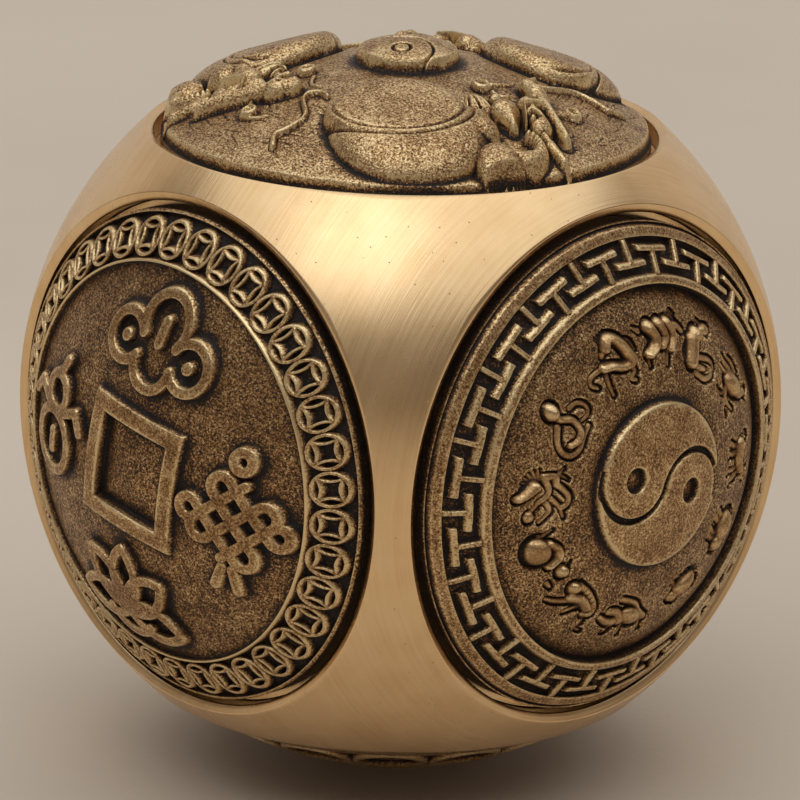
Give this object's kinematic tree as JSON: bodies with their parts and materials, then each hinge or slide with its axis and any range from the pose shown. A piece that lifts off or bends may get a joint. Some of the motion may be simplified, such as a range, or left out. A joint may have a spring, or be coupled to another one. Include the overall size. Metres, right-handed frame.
{
  "type": "fidget ball",
  "caption": "Solid brass hand ball with a relief medallion spinning on a ball bearing in a round pocket on each face.",
  "frame": {"origin": "centre of the ball, where the six spin axes meet", "axes": "+Z through the beast medallion, -Z through the medallion that the ball stands on, -Y through the coin medallion, +X through the zodiac medallion"},
  "size_m": [0.0463, 0.046, 0.0466],
  "materials": {
    "ball_brass": "fine-turned satin",
    "medallion_brass": "cast, blackened in the recesses and rubbed bright on the relief",
    "bearing_steel": "ground",
    "cage_steel": "pressed"
  },
  "bodies": {
    "ball": {"body": "ball_brass", "front_outer_ring": "bearing_steel", "front_shields": "bearing_steel", "right_outer_ring": "bearing_steel", "right_shields": "bearing_steel", "top_outer_ring": "bearing_steel", "top_shields": "bearing_steel", "back_outer_ring": "bearing_steel", "back_shields": "bearing_steel", "left_outer_ring": "bearing_steel", "left_shields": "bearing_steel", "bottom_outer_ring": "bearing_steel", "bottom_shields": "bearing_steel"},
    "front_spinner": {"front_disc": "medallion_brass", "front_spindle": "bearing_steel", "front_inner_ring": "bearing_steel"},
    "front_ball_train": {"front_balls": "bearing_steel", "front_cage": "cage_steel"},
    "right_spinner": {"right_disc": "medallion_brass", "right_spindle": "bearing_steel", "right_inner_ring": "bearing_steel"},
    "right_ball_train": {"right_balls": "bearing_steel", "right_cage": "cage_steel"},
    "top_spinner": {"top_disc": "medallion_brass", "top_spindle": "bearing_steel", "top_inner_ring": "bearing_steel"},
    "top_ball_train": {"top_balls": "bearing_steel", "top_cage": "cage_steel"},
    "back_spinner": {"back_disc": "medallion_brass", "back_spindle": "bearing_steel", "back_inner_ring": "bearing_steel"},
    "back_ball_train": {"back_balls": "bearing_steel", "back_cage": "cage_steel"},
    "left_spinner": {"left_disc": "medallion_brass", "left_spindle": "bearing_steel", "left_inner_ring": "bearing_steel"},
    "left_ball_train": {"left_balls": "bearing_steel", "left_cage": "cage_steel"},
    "bottom_spinner": {"bottom_disc": "medallion_brass", "bottom_spindle": "bearing_steel", "bottom_inner_ring": "bearing_steel"},
    "bottom_ball_train": {"bottom_balls": "bearing_steel", "bottom_cage": "cage_steel"}
  },
  "joints": [
    {"name": "front_spin", "type": "hinge", "parent": "ball", "child": "front_spinner", "pos_m": [0, 0, 0], "axis": [0, -1, 0], "continuous": true},
    {"name": "front_train_spin", "type": "hinge", "parent": "ball", "child": "front_ball_train", "pos_m": [0, 0, 0], "axis": [0, -1, 0], "continuous": true},
    {"name": "right_spin", "type": "hinge", "parent": "ball", "child": "right_spinner", "pos_m": [0, 0, 0], "axis": [1, 0, 0], "continuous": true},
    {"name": "right_train_spin", "type": "hinge", "parent": "ball", "child": "right_ball_train", "pos_m": [0, 0, 0], "axis": [1, 0, 0], "continuous": true},
    {"name": "top_spin", "type": "hinge", "parent": "ball", "child": "top_spinner", "pos_m": [0, 0, 0], "axis": [0, 0, 1], "continuous": true},
    {"name": "top_train_spin", "type": "hinge", "parent": "ball", "child": "top_ball_train", "pos_m": [0, 0, 0], "axis": [0, 0, 1], "continuous": true},
    {"name": "back_spin", "type": "hinge", "parent": "ball", "child": "back_spinner", "pos_m": [0, 0, 0], "axis": [0, 1, 0], "continuous": true},
    {"name": "back_train_spin", "type": "hinge", "parent": "ball", "child": "back_ball_train", "pos_m": [0, 0, 0], "axis": [0, 1, 0], "continuous": true},
    {"name": "left_spin", "type": "hinge", "parent": "ball", "child": "left_spinner", "pos_m": [0, 0, 0], "axis": [-1, 0, 0], "continuous": true},
    {"name": "left_train_spin", "type": "hinge", "parent": "ball", "child": "left_ball_train", "pos_m": [0, 0, 0], "axis": [-1, 0, 0], "continuous": true},
    {"name": "bottom_spin", "type": "hinge", "parent": "ball", "child": "bottom_spinner", "pos_m": [0, 0, 0], "axis": [0, 0, -1], "continuous": true},
    {"name": "bottom_train_spin", "type": "hinge", "parent": "ball", "child": "bottom_ball_train", "pos_m": [0, 0, 0], "axis": [0, 0, -1], "continuous": true}
  ],
  "couplings": [
    {"joint": "front_train_spin", "follows": "front_spin", "ratio": 0.4166},
    {"joint": "right_train_spin", "follows": "right_spin", "ratio": 0.4166},
    {"joint": "top_train_spin", "follows": "top_spin", "ratio": 0.4166},
    {"joint": "back_train_spin", "follows": "back_spin", "ratio": 0.4166},
    {"joint": "left_train_spin", "follows": "left_spin", "ratio": 0.4166},
    {"joint": "bottom_train_spin", "follows": "bottom_spin", "ratio": 0.4166}
  ]
}
